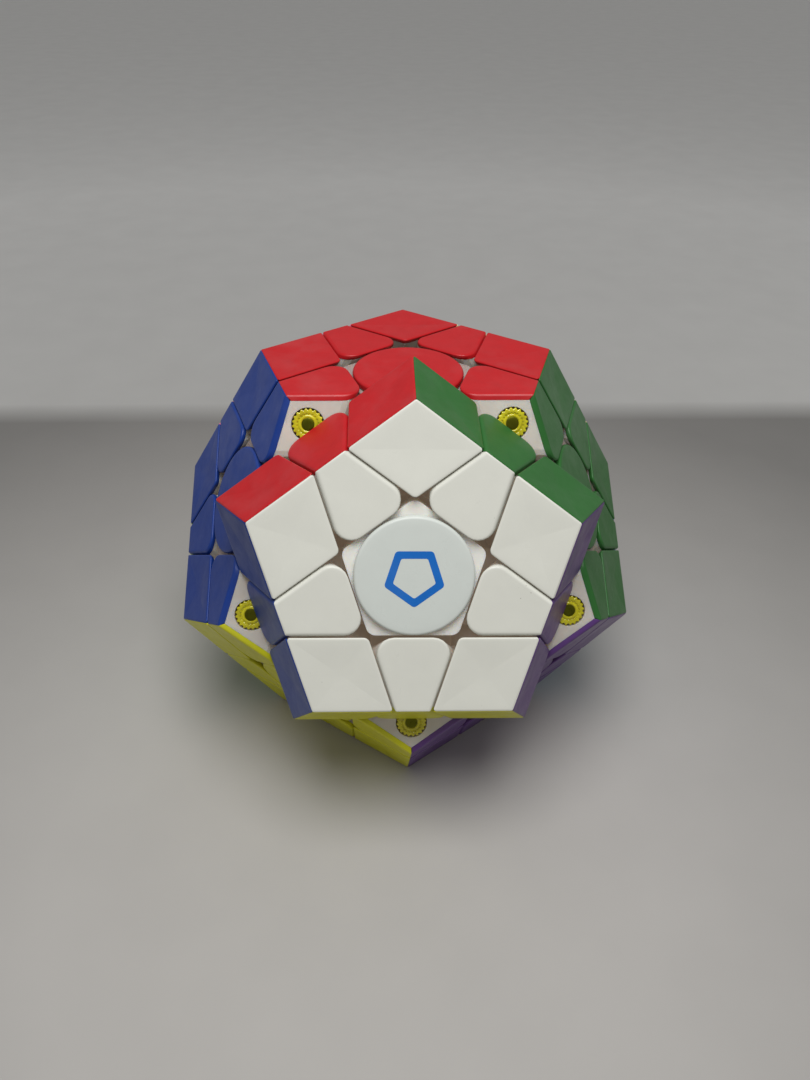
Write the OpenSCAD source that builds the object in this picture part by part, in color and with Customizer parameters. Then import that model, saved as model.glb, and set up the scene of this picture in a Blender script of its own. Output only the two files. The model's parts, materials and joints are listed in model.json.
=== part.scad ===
// Twelve-faced twisting puzzle: a dodecahedron cut by one plane under each
// face, standing on its bottom face with its front layer turned part of a turn.
// Units are millimetres. Z = 0 is the surface that it stands on.

/* [Overall size] */
// length of one edge of the dodecahedron
edge_len = 30; // [26:0.5:36]
// depth of the layer cuts, as a share of the edge measured from its end
cut_share = 0.412; // [0.38:0.002:0.44]
// how far the front layer is turned, in degrees
front_turn = 35.3; // [0:0.1:72]

/* [Fits and clearances] */
// gap left on each side of a layer cut
half_gap = 0.15; // [0.1:0.01:0.25]
// angle kept clear on each side of the conical cuts inside
cone_gap = 0.4; // [0.3:0.05:0.6]
// gap between two coloured tiles where they meet on an edge
mitre_gap = 0.04; // [0.02:0.01:0.1]
// play of the tile plugs, capsules and magnets in their seats
seat_play = 0.05; // [0.03:0.01:0.1]
// play of each face cap in its base
cap_play = 0.2; // [0.1:0.05:0.4]
// play of a screw in the base that it holds
screw_play = 0.15; // [0.1:0.05:0.3]

/* [Coloured tiles] */
// thickness of a tile where it shows
tile_t = 0.85; // [0.6:0.05:1]
// depth of the plug under a tile
plug_t = 0.6; // [0.4:0.1:1]
// rounding of the inner corners of an edge tile
edge_tile_r = 2.5; // [1.5:0.1:3]
// rounding of the inner tip of a corner tile
corner_tile_r = 1; // [0.4:0.1:2]

/* [Piece frames] */
// wall of the frames along the layer cuts
wall_t = 1.2; // [1:0.1:1.8]
// height of the necks, from the feet to the edge pieces' frames
neck_len = 2.7; // [2:0.1:3.5]
// thickness of the feet
foot_t = 3.8; // [3:0.1:4.2]
// gap between the feet and the necks that hold them
foot_gap = 0.2; // [0.15:0.05:0.3]

/* [Magnets] */
// distance of the magnets from the outer tip of the joint face that they sit in
magnet_inset = 5.5; // [5:0.1:6]
// radius of a magnet
magnet_r = 1.5; // [1:0.1:1.8]
// length of a magnet
magnet_len = 1; // [0.6:0.1:1.2]
// thickness of the capsule's skin in front of the magnet
capsule_skin = 0.15; // [0.1:0.05:0.3]
// radius of a magnet's capsule
capsule_r = 2.5; // [2:0.1:2.7]
// length of a capsule
capsule_len = 1.4; // [1.2:0.1:1.8]

/* [Face centres] */
// gap between a cap's disc and the edge tiles around it
cap_gap = 0.16; // [0.14:0.02:1]
// thickness of that disc
cap_t = 1.2; // [0.9:0.1:1.8]
// rounding of the disc's rim
cap_rim_r = 0.5; // [0.45:0.05:0.8]
// radius of the cap's plug
cap_plug_r = 6; // [5:0.1:6.5]
// depth of the plug
cap_plug_t = 1.8; // [1:0.1:2.4]
// gap between the top of a base's flat sides and the layer cuts
base_gap = 0.2; // [0.15:0.05:0.5]
// height of the base's prism
prism_t = 5.15; // [4.5:0.05:5.5]
// rounding of the base's corners
base_corner_r = 1.5; // [1:0.1:5]
// radius of the base's stem
stem_r = 4.5; // [4:0.1:4.6]
// radius of the spring pocket in the stem
pocket_r = 3.1; // [2.9:0.1:3.3]

/* [Core and screws] */
// distance of the core's flats from its centre
core_r = 11; // [9:0.5:13]
// radius of the core's posts
post_r = 3.2; // [2.8:0.1:3.6]
// room between the post tops and the feet
post_room = 3; // [2.5:0.1:4]
// radius of a screw's shank
screw_r = 1.25; // [1:0.05:1.4]
// radius of a screw's head
head_r = 2.2; // [1.9:0.1:2.4]
// thickness of the wire of a spring
wire_t = 0.7; // [0.5:0.05:0.9]
// turns of a spring
spring_turns = 5; // [4:1:7]

/* [Hidden] */
$fn = 48;

// --- the dodecahedron ---
ring_lift = atan(1 / 2);             // how far the side faces lean up or down
face_angle = 90 - ring_lift;         // between the normals of two neighbours
edge_tilt = face_angle / 2;          // from an edge's axis to its two faces
end_tilt = 90 - edge_tilt;           // from an edge's axis to the faces at its ends
corner_tilt = atan(3 - sqrt(5));     // from a corner's axis to its three faces
inradius = edge_len / 2 * sqrt((25 + 11 * sqrt(5)) / 10);
big = 3 * edge_len;                  // more than the size of the whole puzzle

// --- layer cuts: a plane outside, a cone below it ---
cut_d = inradius - cut_share * edge_len / (2 * sin(36));
above_cut = cut_d + half_gap;
below_cut = cut_d - half_gap;
neck_cone = 45;                      // half angle of the cut around the necks
edge_low = above_cut / cos(edge_tilt);      // lowest line of an edge frame
foot_out = edge_low - neck_len;      // shell that the feet slide in
foot_in = foot_out - foot_t;
neck_in = foot_out + foot_gap;       // where the necks start
neck_top = (above_cut + wall_t) / cos(edge_tilt) + 0.05; // where an edge's neck ends
stem_top = (above_cut + wall_t) / cos(corner_tilt) - 0.1;    // and a corner's stem
foot_room = 0.6;                     // room between an edge's foot and a face's stem
flange_side = 2.3;                   // angle between an edge's neck and a face's flange
neck_side = end_tilt - neck_cone - cone_gap;             // edge neck, half width
flange_angle = face_angle - neck_cone - cone_gap;        // flange of a face centre
neck_long = edge_tilt - flange_angle - flange_side;      // edge neck, half length
foot_side = 7.9;                     // edge foot, half width
turn_room = 0.8;                     // angle between feet that turn past each other
foot_long = min(                     // edge foot, half length: clear of a face's stem,
  edge_tilt - asin((stem_r + foot_room) / foot_in),
  end_tilt - foot_side - turn_room - edge_tilt           // and of the feet it turns past
);
stem_angle = neck_cone - cone_gap / 2 - corner_tilt - 0.02;      // corner stem
corner_foot = 12.2;                  // corner foot

// --- coloured tiles ---
plate_z = inradius - tile_t;         // underside of the tiles' plates
plug_z = plate_z - plug_t;           // underside of their plugs
inner_w = (above_cut - inradius * cos(face_angle)) / sin(face_angle);
side_w = (below_cut - inradius * cos(face_angle)) / sin(face_angle);
magnet_ring_r = (inradius - below_cut * cos(face_angle)) / (sin(face_angle) * cos(36)) - magnet_inset;
blend = 0.03;                        // how far a corner's arc starts outside its sides
arc_steps = 8;
edge_frame_r = 0.82 * edge_tile_r;   // rounding of the frames below the edge tiles
corner_frame_r = 1.4 * corner_tile_r;                    // and below the corner tiles
round_depth = 7;                     // how far down an edge frame is rounded

// --- face centres ---
cap_r = inner_w - cap_gap;           // radius of a cap's disc
cap_under = inradius - cap_t;
base_top = cap_under - 0.05;
base_flat_r = (below_cut - base_top * cos(face_angle)) / sin(face_angle) - base_gap;
prism_z = base_top - prism_t;        // where the base's flange turns into its prism
prism_angle = flange_angle + cone_gap / 2;               // flats, from the face's axis
post_top = foot_in - post_room;
stem_z = post_top + 0.3;             // bottom of the stem
floor_z = stem_z + 1.5;              // floor of the spring pocket
nut_t = 2;
head_t = 1.8;
nut_z = cap_under - cap_plug_t - 0.7 - head_t - nut_t;   // underside of the tension nut
screw_end = 6.5;                     // tip of the screw, from the centre

// --- the twelve faces: name, azimuth and lift of the normal, turn about it, colour ---
faces = [
  ["red", 0, 90, 180, [0.75, 0.16, 0.17]],
  ["white", 0, ring_lift, 0, [0.83, 0.83, 0.80]],
  ["green", 72, ring_lift, 0, [0.22, 0.44, 0.23]],
  ["cream", 144, ring_lift, 0, [0.86, 0.80, 0.62]],
  ["pink", 216, ring_lift, 0, [0.85, 0.45, 0.58]],
  ["blue", 288, ring_lift, 0, [0.14, 0.22, 0.46]],
  ["purple", 36, -ring_lift, 180, [0.36, 0.22, 0.46]],
  ["light_blue", 108, -ring_lift, 180, [0.36, 0.62, 0.80]],
  ["grey", 180, -ring_lift, 180, [0.45, 0.46, 0.47]],
  ["lime", 252, -ring_lift, 180, [0.52, 0.74, 0.24]],
  ["yellow", 324, -ring_lift, 180, [0.72, 0.70, 0.16]],
  ["orange", 0, -90, 180, [0.88, 0.42, 0.12]]
];
milky = [0.80, 0.78, 0.72];
metal = [0.72, 0.73, 0.75];

// layers that turn: no two of them are neighbours, so they never share a piece
layers = ["white", "cream", "lime"];
bodies = concat(["body"], layers);
// caps that nothing overhangs, so that they pull straight off
function named(name) = [for (i = [0:11]) if (faces[i][0] == name) i][0];
function normal(f) = [
  sin(faces[f][1]) * cos(faces[f][2]),
  -cos(faces[f][1]) * cos(faces[f][2]),
  sin(faces[f][2])
];
function near(f, g) = f != g && normal(f) * normal(g) > 0.4;
function body_of(fs) = let (own = [for (f = fs) for (l = layers) if (faces[f][0] == l) l])
  len(own) > 0 ? own[0] : "body";
edges = [for (f = [0:11]) for (g = [0:11]) if (f < g && near(f, g)) [f, g]];
corners = [
  for (e = edges) for (g = [0:11])
    if (e[1] < g && near(e[0], g) && near(e[1], g)) [e[0], e[1], g]
];
// faces that have a tile on some piece of a body
function tiled(body) = [
  for (f = [0:11]) if (len([for (c = corners) for (g = c) if (g == f && body_of(c) == body) 1]) > 0) f
];

// ---------- helpers ----------

// everything between two heights
module slab(low, high) {
  translate([-big, -big, low])
    cube([2 * big, 2 * big, high - low]);
}

// turns +Z to an angle from the axis, in the direction az
module toward(az, tilt) {
  rotate([0, 0, az])
    rotate([0, tilt, 0])
      children();
}

// a cone with its tip at the centre
module cone(angle, height) {
  cylinder(h = height, r1 = 0, r2 = height * tan(angle));
}

// a four-sided wedge with its tip at the centre
module wedge(angle_x, angle_y) {
  intersection() {
    rotate([90, 0, 0])
      linear_extrude(2 * big, center = true)
        polygon([[0, 0], [big * tan(angle_x), big], [-big * tan(angle_x), big]]);
    rotate([90, 0, 90])
      linear_extrude(2 * big, center = true)
        polygon([[0, 0], [big * tan(angle_y), big], [-big * tan(angle_y), big]]);
  }
}

// a ball with a smaller ball taken out
module shell(r_in, r_out) {
  difference() {
    sphere(r_out);
    sphere(r_in);
  }
}

// points of an arc
function arc(centre, r, from, to) = [
  for (i = [0:arc_steps])
    let (a = from + (to - from) * i / arc_steps) centre + r * [cos(a), sin(a)]
];

// a normal that leans from +Z toward the direction az
function leaning(az, tilt) = [sin(tilt) * cos(az), sin(tilt) * sin(az), cos(tilt)];

// what rounding takes off the line where two planes meet; n1 and n2 point out of the piece
module line_round(n1, d1, n2, d2, r) {
  g = n1 * n2;
  z = cross(n1, n2) / norm(cross(n1, n2));
  y = cross(z, n1);
  p = (d1 - g * d2) / (1 - g * g) * n1 + (d2 - g * d1) / (1 - g * g) * n2;
  turn = acos(g);
  back = (r - blend) / cos(turn / 2) * [cos(turn / 2), sin(turn / 2)];
  steps = arc_steps / 2;
  curve = [for (i = [0:steps]) let (a = turn * i / steps) r * [cos(a), sin(a)] - back];
  multmatrix([
    [n1[0], y[0], z[0], p[0]],
    [n1[1], y[1], z[1], p[1]],
    [n1[2], y[2], z[2], p[2]],
    [0, 0, 0, 1]
  ])
    linear_extrude(2 * big, center = true)
      polygon(concat(curve, [
        curve[steps] + 2 * [cos(turn), sin(turn)],
        3 * r * [cos(turn / 2), sin(turn / 2)],
        curve[0] + [2, 0]
      ]));
}

// puts +Z on the sum of some normals and +X toward the first of them
module at_piece(fs) {
  total = len(fs) == 2 ? normal(fs[0]) + normal(fs[1]) : normal(fs[0]) + normal(fs[1]) + normal(fs[2]);
  z = total / norm(total);
  flat = normal(fs[0]) - (normal(fs[0]) * z) * z;
  x = flat / norm(flat);
  y = cross(z, x);
  multmatrix([
    [x[0], y[0], z[0], 0],
    [x[1], y[1], z[1], 0],
    [x[2], y[2], z[2], 0],
    [0, 0, 0, 1]
  ])
    children();
}

// puts +Z on a face's normal
module at_face(f) {
  rotate([0, 0, faces[f][1]])
    rotate([90 - faces[f][2], 0, 0])
      rotate([0, 0, faces[f][3]])
        children();
}

// lifts the puzzle onto its bottom face, and turns the front layer
module in_body(body) {
  translate([0, 0, inradius])
    rotate(a = body == "white" ? front_turn : 0, v = normal(named("white")))
      children();
}

// ---------- corner pieces, about their own axis ----------

module corner_block(low, high) {
  intersection_for (az = [0, 120, 240])
    toward(az, corner_tilt)
      slab(low, high);
}

module corner_frame() {
  difference() {
    union() {
      difference() {
        corner_block(above_cut, plate_z);
        corner_block(above_cut + wall_t, inradius + 1);
        for (az = [0, 120, 240])
          intersection() {
            line_round(-leaning(az + 120, corner_tilt), -above_cut,
                       -leaning(az - 120, corner_tilt), -above_cut, corner_frame_r);
            toward(az, corner_tilt)
              slab(above_cut + 2, big);
          }
      }
      intersection() {
        cone(stem_angle, stem_top);
        shell(foot_in + 1, stem_top + 1);
      }
      intersection() {
        cone(corner_foot, big);
        shell(foot_in, foot_out);
      }
    }
    for (az = [0, 120, 240])
      toward(az, corner_tilt)
        translate([-magnet_ring_r, 0, above_cut - 1])
          cylinder(h = capsule_len + 1, r = capsule_r + seat_play);
  }
}

// the tile on the face toward +X
module corner_tile() {
  tip = -(inner_w + corner_tile_r - blend) / cos(36);
  tip_arc = arc([tip, 0], corner_tile_r, -36, 36);
  clear = tip_arc[arc_steps] + [cos(36), sin(36)];
  half = concat(
    [for (i = [arc_steps / 2:arc_steps]) tip_arc[i]],
    [clear, clear + big * [-sin(36), cos(36)], [-big, big]]
  );
  outline = concat(half, [for (i = [len(half) - 1:-1:1]) [half[i][0], -half[i][1]]]);
  difference() {
    intersection() {
      union() {
        intersection() {
          corner_block(above_cut, inradius);
          toward(0, corner_tilt)
            slab(plate_z, inradius);
        }
        intersection() {
          corner_block(above_cut + wall_t + seat_play, inradius);
          toward(0, corner_tilt)
            slab(plug_z, plate_z);
        }
      }
      toward(0, corner_tilt)
        linear_extrude(big)
          polygon(outline);
      toward(-30, 90)
        slab(mitre_gap / 2, big);
      toward(30, 90)
        slab(mitre_gap / 2, big);
    }
    for (az = [120, 240])
      toward(az, corner_tilt)
        translate([-magnet_ring_r, 0, above_cut - 1])
          cylinder(h = capsule_len + 1 + seat_play, r = capsule_r + 2 * seat_play);
  }
}

// ---------- edge pieces, about their own axis ----------

module edge_block(low, high, end) {
  intersection() {
    toward(0, edge_tilt)
      slab(low, high);
    toward(180, edge_tilt)
      slab(low, high);
    toward(90, end_tilt)
      slab(-big, end);
    toward(270, end_tilt)
      slab(-big, end);
  }
}

// the conical cuts of the layers at both ends
module end_cones(back) {
  for (az = [90, 270])
    toward(az, end_tilt)
      translate([0, 0, -back])
        cone(neck_cone + cone_gap, cut_d + 5);
}

module edge_frame() {
  difference() {
    union() {
      difference() {
        edge_block(above_cut, plate_z, below_cut);
        difference() {
          edge_block(above_cut + wall_t, inradius + 1, below_cut - wall_t);
          end_cones(wall_t / sin(neck_cone + cone_gap));
        }
        end_cones(0);
        for (az = [0, 180], end = [90, 270])
          intersection() {
            line_round(-leaning(180 - az, edge_tilt), -above_cut,
                       leaning(end, end_tilt), below_cut, edge_frame_r);
            toward(az, edge_tilt)
              slab(inradius - round_depth, big);
          }
      }
      intersection() {
        wedge(neck_long, neck_side);
        shell(neck_in, neck_top);
      }
      intersection() {
        wedge(neck_long, foot_side);
        shell(foot_out - 1, neck_in + 1);
      }
      intersection() {
        wedge(foot_long, foot_side);
        shell(foot_in, foot_out);
      }
    }
    for (az = [90, 270])
      toward(az, end_tilt)
        translate([-magnet_ring_r, 0, below_cut - capsule_len])
          cylinder(h = capsule_len + 1, r = capsule_r + seat_play);
  }
}

// the tile on the face toward +X
module edge_tile() {
  turn = -(inner_w + edge_tile_r);
  side = (side_w - edge_tile_r + blend - (inner_w + edge_tile_r) * cos(72)) / sin(72);
  bell = arc([turn + blend, side], edge_tile_r, 0, 108);
  half = concat(bell, [bell[arc_steps] + 2 * [cos(108), sin(108)], [-big, big]]);
  outline = concat(half, [for (i = [len(half) - 1:-1:0]) [half[i][0], -half[i][1]]]);
  intersection() {
    union() {
      intersection() {
        edge_block(above_cut, inradius, below_cut);
        toward(0, edge_tilt)
          slab(plate_z, inradius);
      }
      intersection() {
        edge_block(above_cut + wall_t + seat_play, inradius, below_cut - wall_t - seat_play);
        toward(0, edge_tilt)
          slab(plug_z, plate_z);
      }
    }
    toward(0, 90)
      slab(mitre_gap / 2, big);
    toward(0, edge_tilt)
      linear_extrude(big)
        polygon(outline);
  }
}

// ---------- magnets in the layer cuts ----------

// puts its child at the three magnet seats of a corner piece, +Z into the piece
module corner_seats() {
  for (az = [0, 120, 240])
    toward(az, corner_tilt)
      translate([-magnet_ring_r, 0, above_cut])
        children();
}

// puts its child at the two magnet seats of an edge piece, +Z into the piece
module edge_seats() {
  for (az = [90, 270])
    toward(az, end_tilt)
      translate([-magnet_ring_r, 0, below_cut])
        mirror([0, 0, 1])
          children();
}

module capsule() {
  difference() {
    cylinder(h = capsule_len, r = capsule_r);
    translate([0, 0, capsule_skin])
      cylinder(h = capsule_len, r = magnet_r + seat_play / 2);
  }
}

module magnet() {
  translate([0, 0, capsule_skin + seat_play / 2])
    cylinder(h = magnet_len, r = magnet_r);
}

// ---------- sets of pieces of one body ----------

module corners_of(body) {
  in_body(body)
    for (c = corners)
      if (body_of(c) == body)
        at_piece(c)
          children();
}

module edges_of(body) {
  in_body(body)
    for (e = edges)
      if (body_of(e) == body)
        at_piece(e)
          children();
}

module frames(body) {
  color(milky) {
    corners_of(body)
      corner_frame();
    edges_of(body)
      edge_frame();
  }
}

module capsules(body) {
  color([0.75, 0.72, 0.12]) {
    corners_of(body)
      corner_seats()
        capsule();
    edges_of(body)
      edge_seats()
        capsule();
  }
}

module magnets(body) {
  color(metal) {
    corners_of(body)
      corner_seats()
        magnet();
    edges_of(body)
      edge_seats()
        magnet();
  }
}

module tiles(body, f) {
  color(faces[f][4])
    in_body(body) {
      for (c = corners)
        if (body_of(c) == body && len(search(f, c)) > 0)
          at_piece(concat([f], [for (g = c) if (g != f) g]))
            corner_tile();
      for (e = edges)
        if (body_of(e) == body && len(search(f, e)) > 0)
          at_piece(concat([f], [for (g = e) if (g != f) g]))
            edge_tile();
    }
}

// ---------- face centres ----------

// half-round corners of a five-sided prism
module base_outline() {
  reach = (base_flat_r - base_corner_r) / cos(36);
  polygon([
    for (k = [0:4])
      for (p = arc(reach * [cos(270 + 72 * k), sin(270 + 72 * k)], base_corner_r,
                   234 + 72 * k, 306 + 72 * k))
        p
  ]);
}

// keeps a base's flats out of the way of the necks that turn below the cut
module base_pyramid() {
  intersection_for (k = [0:4])
    toward(306 + 72 * k, 90 + prism_angle)
      slab(-big, 0);
}

module base() {
  difference() {
    union() {
      translate([0, 0, stem_z])
        cylinder(h = neck_in + 1 - stem_z, r = stem_r);
      difference() {
        cone(flange_angle, prism_z);
        sphere(neck_in);
      }
      intersection() {
        translate([0, 0, prism_z])
          linear_extrude(base_top - prism_z)
            base_outline();
        base_pyramid();
      }
    }
    cylinder(h = big, r = screw_r + screw_play);
    translate([0, 0, floor_z])
      cylinder(h = big, r = pocket_r);
    translate([0, 0, prism_z + 1])
      cylinder(h = big, r = cap_plug_r + cap_play);
  }
}

module centres(body) {
  color(milky)
    in_body(body)
      for (f = [0:11])
        if (body_of([f]) == body)
          at_face(f)
            base();
}

// a round cap: a disc with a rounded rim, on a plug
module cap(f) {
  rim = [cap_r - cap_rim_r, inradius - cap_rim_r];
  color(faces[f][4])
    in_body(body_of([f]))
      at_face(f) {
        rotate_extrude($fn = 96)
          polygon(concat(
            [[0, cap_under], [cap_r - 0.2, cap_under], [cap_r, cap_under + 0.2]],
            arc(rim, cap_rim_r, 0, 90),
            [[0, inradius]]
          ));
        translate([0, 0, cap_under - cap_plug_t])
          cylinder(h = cap_plug_t, r = cap_plug_r);
      }
}

// ---------- core, screws, springs and nuts ----------

module at_faces() {
  translate([0, 0, inradius])
    for (f = [0:11])
      at_face(f)
        children();
}

// the middle of the core, a dodecahedron like the whole puzzle
module core_block() {
  translate([0, 0, inradius])
    intersection_for (f = [0:5])
      at_face(f)
        slab(-core_r, core_r);
}

module core() {
  color([0.86, 0.86, 0.84])
    difference() {
      union() {
        core_block();
        at_faces()
          translate([0, 0, core_r - 2])
            cylinder(h = post_top - core_r + 2, r = post_r);
      }
      at_faces()
        translate([0, 0, screw_end - 0.2])
          cylinder(h = post_top, r = screw_r + seat_play);
    }
}

module screws() {
  color(metal)
    at_faces()
      difference() {
        union() {
          translate([0, 0, screw_end])
            cylinder(h = nut_z + nut_t - screw_end, r = screw_r);
          translate([0, 0, nut_z + nut_t])
            cylinder(h = head_t, r = head_r);
        }
        translate([0, 0, nut_z + nut_t + head_t - 1.1])
          cylinder(h = 2, r = 1.1, $fn = 6);
      }
}

module tension_nuts() {
  color([0.80, 0.70, 0.18])
    at_faces()
      translate([0, 0, nut_z])
        difference() {
          intersection() {
            cylinder(h = nut_t, r = pocket_r - 0.25);
            cylinder(h = nut_t, r = (pocket_r - 0.25) * 1.06, $fn = 10);
          }
          translate([0, 0, -1])
            cylinder(h = nut_t + 2, r = screw_r + seat_play);
        }
}

// a length cut down to whole hundredths, so that half rings meet exactly
function hundredth(v) = floor(v * 100) / 100;

// a wire wound up around the Z axis, each half turn a half ring that leans to
// rise to the next
module spring(low, high, r, wire, turns) {
  start = hundredth(low + wire / 2);
  rise = hundredth((high - low - wire) / (2 * turns));
  lean = atan(rise / (2 * r));
  for (k = [0:2 * turns - 1])
    translate([0, 0, start + (k + 0.5) * rise])
      rotate([0, 0, 180 * k])
        rotate([0, lean, 0])
          rotate_extrude(angle = 180)
            translate([r / cos(lean), 0])
              circle(wire / 2);
}

module springs() {
  color(metal)
    at_faces()
      spring(floor_z + 0.1, nut_z - 0.03, pocket_r - wire_t / 2 - 0.35, wire_t, spring_turns);
}

// ---------- the nodes ----------

core();
screws();
springs();
tension_nuts();
for (b = bodies) {
  frames(b);
  centres(b);
  capsules(b);
  magnets(b);
  for (f = tiled(b))
    tiles(b, f);
}
for (f = [0:11])
  cap(f);
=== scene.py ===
"""Looks of the twelve-faced twisting puzzle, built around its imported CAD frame."""

import json
import math

import bpy
from mathutils import Matrix, Vector

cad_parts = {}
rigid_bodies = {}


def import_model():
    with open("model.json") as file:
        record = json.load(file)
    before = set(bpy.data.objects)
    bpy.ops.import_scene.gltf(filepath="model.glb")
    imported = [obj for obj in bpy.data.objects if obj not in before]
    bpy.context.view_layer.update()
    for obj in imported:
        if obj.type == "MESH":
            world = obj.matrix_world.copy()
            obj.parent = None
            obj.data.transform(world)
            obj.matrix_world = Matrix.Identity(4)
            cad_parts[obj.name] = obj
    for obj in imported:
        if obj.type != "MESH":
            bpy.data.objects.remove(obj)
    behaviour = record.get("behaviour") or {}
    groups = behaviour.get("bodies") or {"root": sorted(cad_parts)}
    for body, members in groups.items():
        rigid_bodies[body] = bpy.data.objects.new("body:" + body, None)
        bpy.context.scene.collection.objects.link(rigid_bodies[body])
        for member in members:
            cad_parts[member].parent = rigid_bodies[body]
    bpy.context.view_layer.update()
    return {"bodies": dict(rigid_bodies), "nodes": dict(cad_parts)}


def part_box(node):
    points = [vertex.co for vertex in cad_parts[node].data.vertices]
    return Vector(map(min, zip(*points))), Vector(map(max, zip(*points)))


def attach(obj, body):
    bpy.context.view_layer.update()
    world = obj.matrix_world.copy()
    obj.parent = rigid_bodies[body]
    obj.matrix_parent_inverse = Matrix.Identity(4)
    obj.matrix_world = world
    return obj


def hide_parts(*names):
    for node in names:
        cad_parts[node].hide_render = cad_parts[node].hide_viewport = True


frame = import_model()

MM = 0.001

# ---- the dodecahedron, from the frame ----
RING_LIFT = math.atan(0.5)  # how far the side faces lean up or down
FACE_ANGLE = math.pi / 2 - RING_LIFT  # between two neighbouring normals
EDGE_TILT = FACE_ANGLE / 2  # from an edge's axis to its two faces
CORNER_TILT = math.atan(3 - math.sqrt(5))  # from a corner's axis to its faces
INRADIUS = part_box("cap_red")[1][2] / 2
EDGE = INRADIUS / (0.5 * math.sqrt((25 + 11 * math.sqrt(5)) / 10))
FLAT_R = EDGE / 2 / math.tan(math.radians(36))  # middle of a face to its side
CENTRE = Vector((0, 0, INRADIUS))

# ---- the layer cuts, as the CAD has them ----
FRONT_TURN = math.radians(35.3)
CUT_SHARE = 0.412
HALF_GAP = 0.15 * MM
MITRE_GAP = 0.04 * MM
CUT_D = INRADIUS - CUT_SHARE * EDGE / (2 * math.sin(math.radians(36)))


def trace(plane_d):
    """How far from a face's axis a neighbour's plane cuts its surface."""
    return (plane_d - INRADIUS * math.cos(FACE_ANGLE)) / math.sin(FACE_ANGLE)


INNER_W = trace(CUT_D + HALF_GAP)
SIDE_W = trace(CUT_D - HALF_GAP)

# ---- tiles ----
TILE_T = 0.85 * MM
PLUG_T = 0.6 * MM
PLUG_IN = 2.2 * MM  # from a tile's sides in to its plug
UNDER_BEVEL = 0.06 * MM
FILLET = 0.38 * MM  # width of the rounding along the layer cuts
FILLET_DROP = 0.32 * MM  # and its depth
RIDGE_R = 0.62 * MM  # rounding of the dodecahedron's own edges
CORNER_DISH = 0.26 * MM
EDGE_DISH = 0.06 * MM
DISH_RINGS = (0.96, 0.9, 0.82, 0.72, 0.6, 0.46, 0.3, 0.14)  # shares of the reach
TIP_R = 1.0 * MM  # corner toward the cap
BELL_R = 2.5 * MM
SMALL_R = 0.35 * MM
LEAST_R = 0.02 * MM
CORNER_STEPS = 6
RIM_STEPS = 5
CUT_LEAN = math.cos(FACE_ANGLE) / math.sin(FACE_ANGLE)  # run of a cut per depth
RIDGE_LEAN = math.tan(EDGE_TILT)  # and of a mitre

# ---- caps ----
CAP_R = INNER_W - 0.16 * MM
CAP_T = 1.2 * MM
CAP_RIM = 0.5 * MM
CAP_PLUG_R = 6 * MM
CAP_PLUG_T = 1.8 * MM
CAP_PLUG_BEVEL = 0.3 * MM
CAP_BEVEL_IN = 0.25 * MM  # bevel under the disc, inward
CAP_BEVEL_UP = 0.2 * MM  # and upward
CAP_SIDES = 96
CAP_RIM_STEPS = 6
PRINT_T = 0.02 * MM  # thickness of the printed mark
MARK_OUT, MARK_OUT_R = 4.5 * MM, 0.6 * MM  # reach of its corners, their rounding
MARK_IN, MARK_IN_R = 3.2 * MM, 0.35 * MM

# ---- capsules ----
MAGNET_IN = 5.5 * MM  # from a joint face's outer corner
MAGNET_RING = (INRADIUS - (CUT_D - HALF_GAP) * math.cos(FACE_ANGLE)) / (
    math.sin(FACE_ANGLE) * math.cos(math.radians(36))
) - MAGNET_IN
TEETH = 20
TOOTH_STEPS = 4  # the first half of them is the gap
TOOTH_FOOT = 0.90  # share of the radius in a gap
WELL_SIDES = 32

# name: the normal's azimuth in degrees and its lift, and the turn about it in degrees
FACES = {
    "red": (0, math.pi / 2, 180),
    "white": (0, RING_LIFT, 0),
    "green": (72, RING_LIFT, 0),
    "cream": (144, RING_LIFT, 0),
    "pink": (216, RING_LIFT, 0),
    "blue": (288, RING_LIFT, 0),
    "purple": (36, -RING_LIFT, 180),
    "light_blue": (108, -RING_LIFT, 180),
    "grey": (180, -RING_LIFT, 180),
    "lime": (252, -RING_LIFT, 180),
    "yellow": (324, -RING_LIFT, 180),
    "orange": (0, -math.pi / 2, 180),
}
LAYERS = ("white", "cream", "lime")
BODIES = ("body",) + LAYERS


def frame_body(group):
    """The CAD body that a group of pieces belongs to."""
    return "body" if group == "body" else group + "_layer"


# ---------------------------------------------------------------- places


def normal(face):
    """The face's unit normal; the white face looks toward -Y."""
    azimuth, lift = math.radians(FACES[face][0]), FACES[face][1]
    return Vector(
        (
            math.sin(azimuth) * math.cos(lift),
            -math.cos(azimuth) * math.cos(lift),
            math.sin(lift),
        )
    )


def near(a, b):
    """Whether two faces share an edge."""
    return a != b and normal(a).dot(normal(b)) > 0.4


def group_of(faces):
    """The turning layer that a piece with these faces is in, or the body."""
    own = [f for f in faces if f in LAYERS]
    return own[0] if own else "body"


NAMES = list(FACES)
EDGES = [(a, b) for i, a in enumerate(NAMES) for b in NAMES[i + 1 :] if near(a, b)]
CORNERS = [
    (a, b, c)
    for a, b in EDGES
    for c in NAMES[NAMES.index(b) + 1 :]
    if near(a, c) and near(b, c)
]


def in_group(group):
    """Lifts the puzzle onto its bottom face, and turns the front layer."""
    lift = Matrix.Translation(CENTRE)
    if group == "white":
        return lift @ Matrix.Rotation(FRONT_TURN, 4, normal("white"))
    return lift


def at_piece(faces):
    """+Z on the sum of the faces' normals, +X toward the first of them."""
    z = sum((normal(f) for f in faces), Vector()).normalized()
    x = normal(faces[0])
    x = (x - x.dot(z) * z).normalized()
    return Matrix((x, z.cross(x), z)).transposed().to_4x4()


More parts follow.
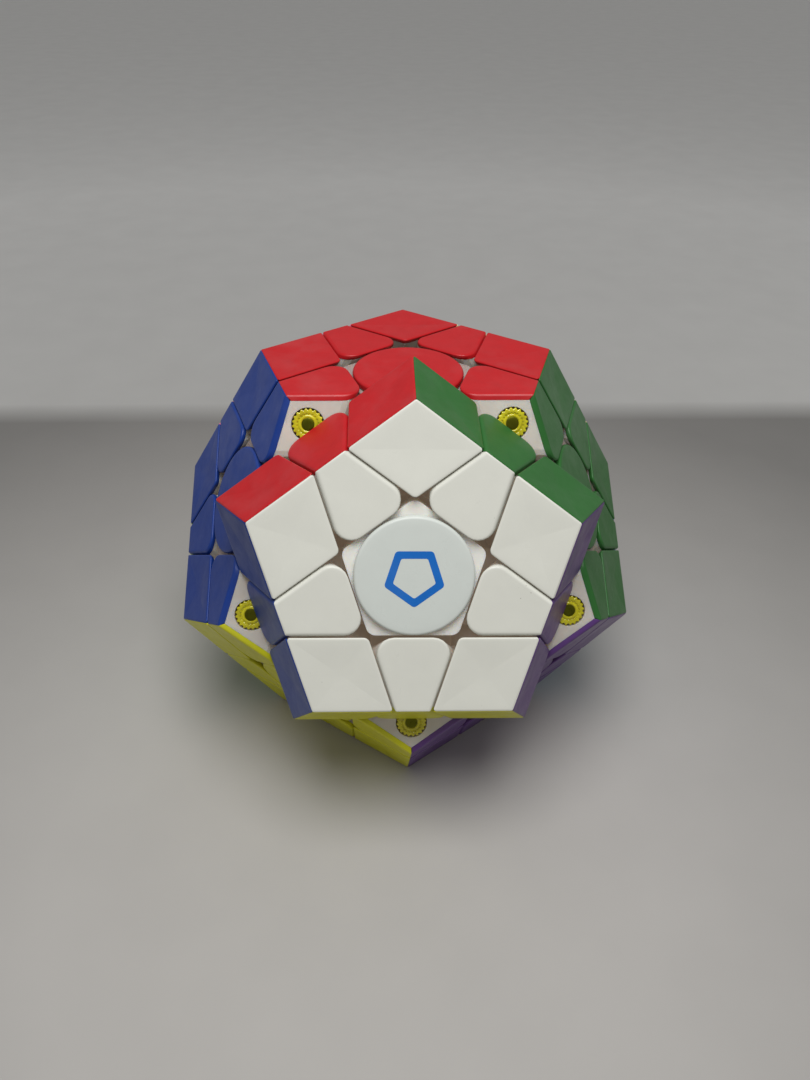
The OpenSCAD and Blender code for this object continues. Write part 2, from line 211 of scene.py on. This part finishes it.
def at_face(face):
    """+Z on the face's normal, as the CAD turns it."""
    azimuth, lift, spin = FACES[face]
    return (
        Matrix.Rotation(math.radians(azimuth), 4, "Z")
        @ Matrix.Rotation(math.pi / 2 - lift, 4, "X")
        @ Matrix.Rotation(math.radians(spin), 4, "Z")
    )


def toward(azimuth_deg, tilt):
    """Leans +Z by the tilt, toward an azimuth."""
    return Matrix.Rotation(math.radians(azimuth_deg), 4, "Z") @ Matrix.Rotation(
        tilt, 4, "Y"
    )


# ---------------------------------------------------------------- meshes


def make_object(name, parts, sharp_deg=38):
    """One mesh object from a list of (points, faces, matrix)."""
    points, faces = [], []
    for part_points, part_faces, matrix in parts:
        first = len(points)
        points += [matrix @ Vector(p) for p in part_points]
        faces += [[first + i for i in f] for f in part_faces]
    mesh = bpy.data.meshes.new(name)
    mesh.from_pydata(points, [], faces)
    mesh.validate()
    mesh.shade_smooth()
    mesh.set_sharp_from_angle(angle=math.radians(sharp_deg))
    piece = bpy.data.objects.new(name, mesh)
    bpy.context.scene.collection.objects.link(piece)
    return piece


def skin(rings, closed_start=True, closed_end=True):
    """Points and faces of a tube through rings with as many points each."""
    count = len(rings[0])
    points = [p for ring in rings for p in ring]
    faces = []
    for r in range(len(rings) - 1):
        for i in range(count):
            j = (i + 1) % count
            faces.append(
                [r * count + i, r * count + j, (r + 1) * count + j, (r + 1) * count + i]
            )
    if closed_start:
        faces.append(list(range(count))[::-1])
    if closed_end:
        last = (len(rings) - 1) * count
        faces.append([last + i for i in range(count)])
    return points, faces


def lathe(profile, steps, tooth=None):
    """Points and faces of a closed shape turned from (radius, height) points.

    The profile starts and ends on the axis.
    """
    rings = []
    for k, (radius, height) in enumerate(profile[1:-1]):
        ring = []
        for i in range(steps):
            a = 2 * math.pi * i / steps
            r = radius if tooth is None else radius * tooth(k + 1, i)
            ring.append((r * math.cos(a), r * math.sin(a), height))
        rings.append(ring)
    points, faces = skin(rings, closed_start=False, closed_end=False)
    first, last = len(points), len(points) + 1
    points += [(0, 0, profile[0][1]), (0, 0, profile[-1][1])]
    end = (len(rings) - 1) * steps
    for i in range(steps):
        j = (i + 1) % steps
        faces.append([first, j, i])
        faces.append([last, end + i, end + j])
    return points, faces


# ---- tiles: each side is (azimuth of its outward normal, distance, change of
# ---- that distance per depth, whether it lies on the dodecahedron's edge)


def corner_sides():
    """The sides of a corner's tile, and the rounding after each of them."""
    return [
        (36, -INNER_W, -CUT_LEAN, False),
        (144, FLAT_R - MITRE_GAP / 2, -RIDGE_LEAN, True),
        (216, FLAT_R - MITRE_GAP / 2, -RIDGE_LEAN, True),
        (324, -INNER_W, -CUT_LEAN, False),
    ], [SMALL_R, SMALL_R, SMALL_R, TIP_R]


def edge_sides():
    """The sides of an edge's tile, and the rounding after each of them."""
    return [
        (0, -INNER_W, -CUT_LEAN, False),
        (108, SIDE_W, CUT_LEAN, False),
        (180, FLAT_R - MITRE_GAP / 2, -RIDGE_LEAN, True),
        (252, SIDE_W, CUT_LEAN, False),
    ], [BELL_R, SMALL_R, SMALL_R, BELL_R]


def tile_ring(sides, radii, depths, insets):
    """One ring of a tile: the sides moved in, with rounded corners between."""
    ring = []
    for i, (azimuth, reach, slope, _) in enumerate(sides):
        k = (i + 1) % len(sides)
        azimuth2, reach2, slope2, _ = sides[k]
        if azimuth2 < azimuth:
            azimuth2 += 360
        r = max(radii[i] - 0.5 * (insets[i] + insets[k]), LEAST_R)
        a, b = math.radians(azimuth), math.radians(azimuth2)
        w1 = reach + slope * depths[i] - insets[i] - r
        w2 = reach2 + slope2 * depths[k] - insets[k] - r
        det = math.cos(a) * math.sin(b) - math.sin(a) * math.cos(b)
        cx = (w1 * math.sin(b) - w2 * math.sin(a)) / det
        cy = (math.cos(a) * w2 - math.cos(b) * w1) / det
        for step in range(CORNER_STEPS + 1):
            t = step / CORNER_STEPS
            angle = a + (b - a) * t
            depth = depths[i] + (depths[k] - depths[i]) * t
            ring.append(
                (cx + r * math.cos(angle), cy + r * math.sin(angle), INRADIUS - depth)
            )
    return ring


def tile(sides, radii, dish):
    """A coloured tile, +Z out of its face, its outer side toward -X."""
    count = len(sides)
    rings = [
        tile_ring(sides, radii, [depth] * count, [inset] * count)
        for depth, inset in (
            (TILE_T + PLUG_T, PLUG_IN),
            (TILE_T, PLUG_IN),
            (TILE_T, UNDER_BEVEL),
            (TILE_T - UNDER_BEVEL, 0),
        )
    ]
    for k in range(RIM_STEPS + 1):
        t = k / RIM_STEPS
        depths, insets = [], []
        for _, _, _, ridge in sides:
            if ridge:
                lean = EDGE_TILT * (1 - t)
                depths.append(RIDGE_R * (1 - math.cos(lean)))
                insets.append(
                    RIDGE_R * (math.tan(EDGE_TILT) * math.cos(lean) - math.sin(lean))
                )
            else:
                turn = math.pi / 2 * t
                depths.append(FILLET_DROP * (1 - math.sin(turn)))
                insets.append(FILLET * (1 - math.cos(turn)))
        rings.append(tile_ring(sides, radii, depths, insets))
    rim = rings[-1]
    mid = [sum(p[k] for p in rim) / len(rim) for k in (0, 1)]
    reach = [math.hypot(x - mid[0], y - mid[1]) for x, y, _ in rim]
    for share in DISH_RINGS:
        # from the outline at the rim to a circle in the middle
        ring = []
        for (x, y, _), out in zip(rim, reach):
            grow = share * (share**3 + (1 - share**3) * min(reach) / out)
            ring.append(
                (
                    mid[0] + (x - mid[0]) * grow,
                    mid[1] + (y - mid[1]) * grow,
                    INRADIUS - dish * (1 - share**2) ** 1.5,
                )
            )
        rings.append(ring)
    points, faces = skin(rings, closed_end=False)
    last = (len(rings) - 1) * len(rim)
    tip = len(points)
    points.append((mid[0], mid[1], INRADIUS - dish))
    for i in range(len(rim)):
        faces.append([tip, last + i, last + (i + 1) % len(rim)])
    return points, faces


def tiles(group, face):
    """All tiles of one colour on one body."""
    corner, edge = tile(*corner_sides(), CORNER_DISH), tile(*edge_sides(), EDGE_DISH)
    parts = []
    for faces in CORNERS + EDGES:
        if face in faces and group_of(faces) == group:
            order = (face,) + tuple(f for f in faces if f != face)
            shape, tilt = (corner, CORNER_TILT) if len(faces) == 3 else (edge, EDGE_TILT)
            parts.append(
                shape + (in_group(group) @ at_piece(order) @ toward(0, tilt),)
            )
    return make_object(f"tiles_{group}_{face}", parts) if parts else None


# ---- caps ----


def rim_arc(radius, height, size):
    """Points of a rounded rim, as (radius, height), from its side to its top."""
    out = []
    for k in range(CAP_RIM_STEPS + 1):
        a = math.radians(90 * k / CAP_RIM_STEPS)
        out.append((radius - size + size * math.cos(a), height - size + size * math.sin(a)))
    return out


def cap(face):
    """A disc with a rounded rim, on its plug."""
    top = INRADIUS - PRINT_T
    under = INRADIUS - CAP_T
    plug_end = under - CAP_PLUG_T
    profile = [
        (0, plug_end),
        (CAP_PLUG_R - CAP_PLUG_BEVEL, plug_end),
        (CAP_PLUG_R, plug_end + CAP_PLUG_BEVEL),
        (CAP_PLUG_R, under),
        (CAP_R - CAP_BEVEL_IN, under),
        (CAP_R, under + CAP_BEVEL_UP),
    ]
    profile += rim_arc(CAP_R, top, CAP_RIM)
    profile += [(CAP_R * share, top) for share in (0.85, 0.6, 0.3)] + [(0, top)]
    place = in_group(group_of((face,))) @ at_face(face)
    return make_object("face_cap_" + face, [lathe(profile, CAP_SIDES) + (place,)])


def rounded_pentagon(reach, corner, height):
    """Points around a five-sided outline; reach is how far out its corners are."""
    ring = []
    for k in range(5):
        out = math.radians(90 + 72 * k)
        for step in range(-3, 4):
            a = out + math.radians(12 * step)
            ring.append(
                (
                    (reach - corner) * math.cos(out) + corner * math.cos(a),
                    (reach - corner) * math.sin(out) + corner * math.sin(a),
                    height,
                )
            )
    return ring


def printed_mark():
    """A plain five-sided ring printed on the front cap."""
    base = INRADIUS - PRINT_T
    rings = [
        rounded_pentagon(MARK_IN, MARK_IN_R, base),
        rounded_pentagon(MARK_OUT, MARK_OUT_R, base),
        rounded_pentagon(MARK_OUT, MARK_OUT_R, INRADIUS),
        rounded_pentagon(MARK_IN, MARK_IN_R, INRADIUS),
    ]
    points, faces = skin(rings, closed_start=False, closed_end=False)
    count, last = len(rings[0]), 3 * len(rings[0])
    for i in range(count):
        j = (i + 1) % count
        faces.append([last + i, last + j, j, i])
    return make_object(
        "printed_mark", [(points, faces, in_group("white") @ at_face("white"))]
    )


# ---- capsules ----


def capsule_shape():
    """A toothed, see-through capsule; +Z goes into its piece.

    From its middle out: a thin window, two raised rings with a groove between,
    and the toothed rim. Its back is open. Millimetres.
    """
    profile = [
        (0, 0.13),
        (1.02, 0.13),
        (1.06, 0.04),
        (1.14, 0.0),
        (1.34, 0.0),
        (1.42, 0.06),
        (1.46, 0.13),
        (1.66, 0.13),
        (1.70, 0.05),
        (1.78, 0.0),
        (2.26, 0.0),
        (2.38, 0.04),
        (2.45, 0.14),
        (2.45, 0.9),
        (2.36, 1.36),
        (1.56, 1.38),
        (1.52, 1.30),
        (1.52, 0.17),
        (0, 0.17),
    ]

    rim = range(8, 15)  # the points of the profile that the teeth cut into

    def tooth(k, i):
        return TOOTH_FOOT if k in rim and i % TOOTH_STEPS < TOOTH_STEPS // 2 else 1.0

    return lathe([(r * MM, h * MM) for r, h in profile], TOOTH_STEPS * TEETH, tooth)


def well_shape():
    """The dark middle of a capsule, where its magnet shows through. Millimetres."""
    profile = [(0, 0.09), (0.5, 0.09), (0.92, 0.10), (0.99, 0.12), (0.99, 0.128), (0, 0.128)]
    return lathe([(r * MM, h * MM) for r, h in profile], WELL_SIDES)


def seats(group):
    """The placement of every magnet seat of one body's pieces."""
    places = []
    for piece in CORNERS + EDGES:
        if group_of(piece) != group:
            continue
        base = in_group(group) @ at_piece(piece)
        if len(piece) == 3:
            seat = Matrix.Translation((-MAGNET_RING, 0, CUT_D + HALF_GAP))
            for azimuth in (0, 120, 240):
                places.append(base @ toward(azimuth, CORNER_TILT) @ seat)
        else:
            seat = Matrix.Translation(
                (-MAGNET_RING, 0, CUT_D - HALF_GAP)
            ) @ Matrix.Rotation(math.pi, 4, "X")
            for azimuth in (90, 270):
                places.append(base @ toward(azimuth, math.pi / 2 - EDGE_TILT) @ seat)
    return places


def seated(name, shape, group):
    """One object with the shape in every seat of a body."""
    return make_object(name + group, [shape + (place,) for place in seats(group)])


# ---------------------------------------------------------------- materials


class Nodes:
    """A material's node tree, with short names for what the recipes use."""

    def __init__(self, name):
        self.material = bpy.data.materials.new(name)
        self.material.use_nodes = True
        self.tree = self.material.node_tree
        self.shader = self.tree.nodes["Principled BSDF"]
        self.place = self.add("ShaderNodeTexCoord").outputs["Object"]

    def add(self, kind, **settings):
        node = self.tree.nodes.new(kind)
        for key, value in settings.items():
            setattr(node, key, value)
        return node

    def link(self, a, b):
        self.tree.links.new(a, b)

    def shade(self, **sockets):
        """Links sockets to the shader's inputs of those names."""
        for key, socket in sockets.items():
            self.link(socket, self.shader.inputs[key.replace("_", " ")])

    def stretched(self, scale):
        node = self.add("ShaderNodeMapping")
        node.inputs["Scale"].default_value = scale
        self.link(self.place, node.inputs["Vector"])
        return node.outputs["Vector"]

    def noise(self, scale, detail=2.0, rough=0.5, place=None):
        node = self.add("ShaderNodeTexNoise")
        node.inputs["Scale"].default_value = scale
        node.inputs["Detail"].default_value = detail
        node.inputs["Roughness"].default_value = rough
        self.link(place or self.place, node.inputs["Vector"])
        return node.outputs["Fac"]

    def specks(self, scale):
        node = self.add("ShaderNodeTexVoronoi")
        node.inputs["Scale"].default_value = scale
        self.link(self.place, node.inputs["Vector"])
        return node.outputs["Distance"]

    def distance(self, spot):
        node = self.add("ShaderNodeVectorMath", operation="DISTANCE")
        self.link(self.place, node.inputs[0])
        node.inputs[1].default_value = spot
        return node.outputs["Value"]

    def span(self, value, low, high, to_low=0.0, to_high=1.0):
        node = self.add("ShaderNodeMapRange")
        for key, number in (
            ("From Min", low),
            ("From Max", high),
            ("To Min", to_low),
            ("To Max", to_high),
        ):
            node.inputs[key].default_value = number
        self.link(value, node.inputs["Value"])
        return node.outputs["Result"]

    def times(self, a, b):
        node = self.add("ShaderNodeMath", operation="MULTIPLY")
        for socket, value in zip(node.inputs, (a, b)):
            if isinstance(value, (int, float)):
                socket.default_value = value
            else:
                self.link(value, socket)
        return node.outputs[0]

    def mix(self, share, a, b):
        node = self.add("ShaderNodeMix", data_type="RGBA")
        self.link(share, node.inputs["Factor"])
        for key, value in (("A", a), ("B", b)):
            socket = [s for s in node.inputs if s.name == key and s.type == "RGBA"][0]
            if isinstance(value, tuple):
                socket.default_value = value + (1.0,)
            else:
                self.link(value, socket)
        return [s for s in node.outputs if s.type == "RGBA"][0]

    def bump(self, height, strength, distance, below=None):
        node = self.add("ShaderNodeBump")
        node.inputs["Strength"].default_value = strength
        node.inputs["Distance"].default_value = distance
        self.link(height, node.inputs["Height"])
        if below is not None:
            self.link(below, node.inputs["Normal"])
        return node.outputs["Normal"]

    def set(self, **values):
        for key, value in values.items():
            self.shader.inputs[key.replace("_", " ")].default_value = value


MIDDLE = (0.3, 0.7)  # the stretch of a noise's range that most of it lies in
RUBBED_GREY = 0.32
DIRT = (0.09, 0.07, 0.05)


def linear(red, green, blue):
    """An sRGB colour, 0 to 255, as linear values."""
    return tuple(
        v / 255 / 12.92 if v / 255 <= 0.04045 else ((v / 255 + 0.055) / 1.055) ** 2.4
        for v in (red, green, blue)
    )


def toned(colour, by):
    return tuple(min(1.0, v * by) for v in colour)


def toward_grey(colour, share):
    return tuple(v * (1 - share) + RUBBED_GREY * share for v in colour)


def plastic(name, colour, grime=0.0, rough=0.34, worn=0.16, cloudy=0.05):
    """Moulded coloured plastic: faint mottling, rub marks, hairline scratches."""
    n = Nodes(name)
    mottle = n.span(n.noise(420, 4, 0.6), *MIDDLE)
    tone = n.mix(mottle, toned(colour, 1 - cloudy), toned(colour, 1 + cloudy))
    rubbed = n.times(n.span(n.noise(95, 5, 0.62), 0.5, 0.78), worn)
    tone = n.mix(rubbed, tone, toward_grey(colour, 0.5))
    if grime:
        spot = n.span(n.specks(900), 0.10, 0.04)
        where = n.span(n.noise(160, 2), 0.62, 0.70)
        tone = n.mix(n.times(n.times(spot, where), grime), tone, DIRT)
    sheen = n.span(n.noise(300, 5, 0.7), 0.3, 0.75, rough - 0.06, rough + 0.12)
    lengthways = n.span(n.noise(900, 1, 0.4, n.stretched((1.0, 0.06, 0.5))), 0.66, 0.72)
    across = n.span(n.noise(800, 1, 0.4, n.stretched((0.05, 1.0, 0.7))), 0.67, 0.73)
    relief = n.bump(n.noise(5200, 2), 0.10, 0.02 * MM)
    relief = n.bump(lengthways, 0.18, 0.012 * MM, relief)
    relief = n.bump(across, 0.18, 0.012 * MM, relief)
    n.shade(Base_Color=tone, Roughness=sheen, Normal=relief)
    n.set(Specular_IOR_Level=0.32)
    return n.material


def milky(name, colour, glow):
    """Slightly see-through nylon. Its glow stands for light that soaks through
    the thin walls, and keeps their gaps from going black."""
    n = Nodes(name)
    cloud = n.span(n.noise(180, 4, 0.6), *MIDDLE)
    n.shade(
        Base_Color=n.mix(cloud, toned(colour, 0.9), toned(colour, 1.06)),
        Roughness=n.span(n.noise(420, 3), *MIDDLE, 0.38, 0.52),
        Normal=n.bump(n.noise(2600, 3), 0.12, 0.02 * MM),
        Emission_Color=n.mix(cloud, (0.80, 0.60, 0.44), (0.90, 0.70, 0.52)),
    )
    n.set(
        Emission_Strength=glow,
        Subsurface_Weight=0.6,
        Subsurface_Scale=2 * MM,
        Subsurface_Radius=(1.0, 0.7, 0.45),
        Specular_IOR_Level=0.4,
    )
    return n.material


def clear_yellow():
    """See-through yellow plastic."""
    n = Nodes("clear_yellow")
    cloud = n.noise(700, 3)
    n.shade(
        Base_Color=n.mix(n.span(cloud, *MIDDLE), (0.56, 0.49, 0.005), (0.86, 0.79, 0.014)),
        Roughness=n.span(cloud, *MIDDLE, 0.08, 0.2),
        Normal=n.bump(n.noise(3000, 2), 0.08, 0.01 * MM),
    )
    n.set(Transmission_Weight=0.25, IOR=1.49, Specular_IOR_Level=0.8)
    return n.material


def metal(name, colour, rough):
    """Metal with a fine grain."""
    n = Nodes(name)
    grain = n.noise(1500, 4, 0.6, n.stretched((1.0, 1.0, 0.12)))
    n.shade(
        Base_Color=n.mix(n.span(grain, *MIDDLE), toned(colour, 0.85), toned(colour, 1.08)),
        Roughness=n.span(grain, *MIDDLE, rough - 0.05, rough + 0.08),
        Normal=n.bump(grain, 0.1, 0.01 * MM),
    )
    n.set(Metallic=1.0)
    return n.material


COLOURS = {
    "red": linear(180, 22, 28),
    "white": linear(216, 216, 206),
    "green": linear(44, 100, 44),
    "cream": linear(226, 210, 160),
    "pink": linear(222, 112, 150),
    "blue": linear(22, 56, 134),
    "purple": linear(92, 58, 122),
    "light_blue": linear(96, 164, 212),
    "grey": linear(118, 120, 122),
    "lime": linear(136, 190, 62),
    "yellow": linear(204, 202, 26),
    "orange": linear(232, 112, 34),
}
plastics = {
    face: plastic("plastic_" + face, colour)
    for face, colour in COLOURS.items()
    if face != "white"
}
plastics["white"] = plastic(
    "plastic_white", COLOURS["white"], grime=1.0, rough=0.32, worn=0.03, cloudy=0.012
)
cap_plastics = dict(plastics)
cap_plastics["white"] = plastic(
    "plastic_white_cap", linear(206, 211, 205), rough=0.3, worn=0.03, cloudy=0.012
)


def dress(piece, material):
    piece.data.materials.clear()
    piece.data.materials.append(material)


# ---------------------------------------------------------------- build

for group in BODIES:
    for face in NAMES:
        node = f"{group}_tiles_{face}"
        if node in frame["nodes"]:
            piece = tiles(group, face)
            dress(piece, plastics[face])
            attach(piece, frame_body(group))
            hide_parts(node)

yellow = clear_yellow()
olive = metal("magnet_behind_yellow", linear(104, 104, 26), 0.3)
for group in BODIES:
    piece = seated("magnet_capsules_", capsule_shape(), group)
    dress(piece, yellow)
    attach(piece, frame_body(group))
    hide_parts(group + "_capsules")
    piece = seated("capsule_wells_", well_shape(), group)
    dress(piece, olive)
    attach(piece, frame_body(group))

for face in NAMES:
    piece = cap(face)
    dress(piece, cap_plastics[face])
    own = "cap_" + face
    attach(piece, own if own in frame["bodies"] else "body")
    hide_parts(own)

mark = printed_mark()
dress(mark, plastic("printed_blue", linear(24, 104, 190), rough=0.3))
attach(mark, "cap_white")

FRAME_TONE = linear(204, 197, 187)
# the nylon's glow is painted light, stronger on the front layer's nylon than on the body's;
# shaded_nylon is a darker copy for the body's centres, painted shade
front_nylon = milky("milky_nylon_front", FRAME_TONE, glow=0.05)
nylon = milky("milky_nylon", FRAME_TONE, glow=0.012)
base_nylon = milky("pale_nylon", linear(234, 231, 224), glow=0.03)
shaded_nylon = milky("shaded_nylon", linear(160, 146, 140), glow=0.01)
steel = metal("bright_steel", (0.55, 0.56, 0.58), 0.25)
nickel = metal("nickel_magnet", (0.40, 0.42, 0.36), 0.22)
core_plastic = plastic("core_plastic", linear(212, 212, 208), rough=0.5)
nut_plastic = plastic("nut_plastic", linear(204, 176, 52), rough=0.45)

# the CAD's own meshes stay for the pieces inside, and only get their materials
kept = {"core": core_plastic, "screws": steel, "springs": steel, "tension_nuts": nut_plastic}
for group in BODIES:
    # painted light and shade: the front layer's nylon glows more, and the body's centres
    # take the darker shaded copy
    kept[group + "_frames"] = front_nylon if group == "white" else nylon
    kept[group + "_centres"] = base_nylon if group == "white" else shaded_nylon
    kept[group + "_magnets"] = nickel
for node, material in kept.items():
    for slot in frame["nodes"][node].material_slots:
        slot.material = material

# ---------------------------------------------------------------- floor, light, camera

# the floor is one sheet with painted light: around the puzzle its grey is a painted pool of
# light, darker away from the puzzle; past a soft line behind it, a painted backdrop, lighter
# with the distance
LINE_Y = (0.105, 0.117)
LIGHT_POOL_SPAN = (0.05, 0.17)
BACKDROP_LIGHT_SPAN = (0.15, 0.42)
FLOOR_LIT_TONE, FLOOR_PAINTED_SHADE = linear(178, 175, 171), linear(136, 134, 131)
BACKDROP_TONE, BACKDROP_PAINTED_LIGHT = linear(184, 183, 180), linear(244, 243, 240)


def add_floor():
    """A sheet that reaches past the picture on every side."""
    mesh = bpy.data.meshes.new("floor")
    mesh.from_pydata([(-2, -2, 0), (2, -2, 0), (2, 3, 0), (-2, 3, 0)], [], [(0, 1, 2, 3)])
    sheet = bpy.data.objects.new("floor", mesh)
    bpy.context.scene.collection.objects.link(sheet)
    n = Nodes("floor_painted_light")
    # painted light and shade: darker away from the puzzle near it, brighter with the
    # distance past the line
    around = n.distance((-0.01, -0.04, 0))
    painted_light_pool = n.mix(n.span(around, *LIGHT_POOL_SPAN), FLOOR_LIT_TONE, FLOOR_PAINTED_SHADE)
    painted_backdrop_light = n.mix(n.span(around, *BACKDROP_LIGHT_SPAN), BACKDROP_TONE, BACKDROP_PAINTED_LIGHT)
    split = n.add("ShaderNodeSeparateXYZ")
    n.link(n.place, split.inputs[0])
    paint = n.mix(n.span(split.outputs["Y"], *LINE_Y), painted_light_pool, painted_backdrop_light)
    cloud = n.span(n.noise(60, 3), *MIDDLE, 0.0, 0.04)
    n.shade(
        Base_Color=n.mix(cloud, paint, (0.05, 0.05, 0.05)),
        Normal=n.bump(n.noise(1800, 3), 0.1, 0.03 * MM),
    )
    n.set(Roughness=0.8, Specular_IOR_Level=0.2)
    mesh.materials.append(n.material)


add_floor()


LAMP_PLACE = Vector((0.0, -0.09, 0.31))
LAMP_SIZE = 0.20
LAMP_POWER = 0.76
WORLD_TONE = (0.90, 0.90, 0.90)
WORLD_STRENGTH = 0.30


def add_light():
    """One soft lamp above and in front of the puzzle."""
    data = bpy.data.lights.new("key", "AREA")
    data.shape = "DISK"
    data.size = LAMP_SIZE
    data.energy = LAMP_POWER
    lamp = bpy.data.objects.new("key", data)
    lamp.location = LAMP_PLACE
    lamp.rotation_euler = (CENTRE - LAMP_PLACE).to_track_quat("-Z", "Y").to_euler()
    bpy.context.scene.collection.objects.link(lamp)


def add_world():
    """Even light from all around."""
    world = bpy.data.worlds.new("studio")
    world.use_nodes = True
    background = world.node_tree.nodes["Background"]
    background.inputs["Color"].default_value = WORLD_TONE + (1.0,)
    background.inputs["Strength"].default_value = WORLD_STRENGTH
    bpy.context.scene.world = world


add_light()
add_world()
bpy.context.scene.view_settings.view_transform = "Standard"

# the camera looks at the puzzle's middle from in front and above; degrees
CAMERA_YAW, CAMERA_PITCH, CAMERA_ROLL = -2.7833, 36.412, 1.0549
CAMERA_PAN, CAMERA_TILT = -0.0091, -0.1775
CAMERA_DISTANCE = 5.2176 * EDGE
CAMERA_FOCAL = 28.468  # mm, on a sensor this wide:
CAMERA_SENSOR = 36
CAMERA_CLIP = 0.005


def add_camera():
    """Aims at the middle, then turns by the pan, the tilt and the roll."""
    yaw, pitch = math.radians(CAMERA_YAW), math.radians(CAMERA_PITCH)
    back = Vector(
        (math.sin(yaw) * math.cos(pitch), -math.cos(yaw) * math.cos(pitch), math.sin(pitch))
    )
    right = Vector((0, 0, 1)).cross(back).normalized()
    up = back.cross(right)
    pan = math.radians(CAMERA_PAN)
    ahead = -back * math.cos(pan) + right * math.sin(pan)
    right = right * math.cos(pan) + back * math.sin(pan)
    tilt = math.radians(CAMERA_TILT)
    ahead, up = (
        ahead * math.cos(tilt) + up * math.sin(tilt),
        up * math.cos(tilt) - ahead * math.sin(tilt),
    )
    roll = math.radians(CAMERA_ROLL)
    right, up = (
        right * math.cos(roll) + up * math.sin(roll),
        up * math.cos(roll) - right * math.sin(roll),
    )
    data = bpy.data.cameras.new("camera")
    data.lens = CAMERA_FOCAL
    data.sensor_width = CAMERA_SENSOR
    data.sensor_fit = "AUTO"
    data.clip_start = CAMERA_CLIP
    camera = bpy.data.objects.new("camera", data)
    turn = Matrix((right, up, -ahead)).transposed().to_4x4()
    camera.matrix_world = Matrix.Translation(CENTRE + back * CAMERA_DISTANCE) @ turn
    bpy.context.scene.collection.objects.link(camera)
    bpy.context.scene.camera = camera


add_camera()
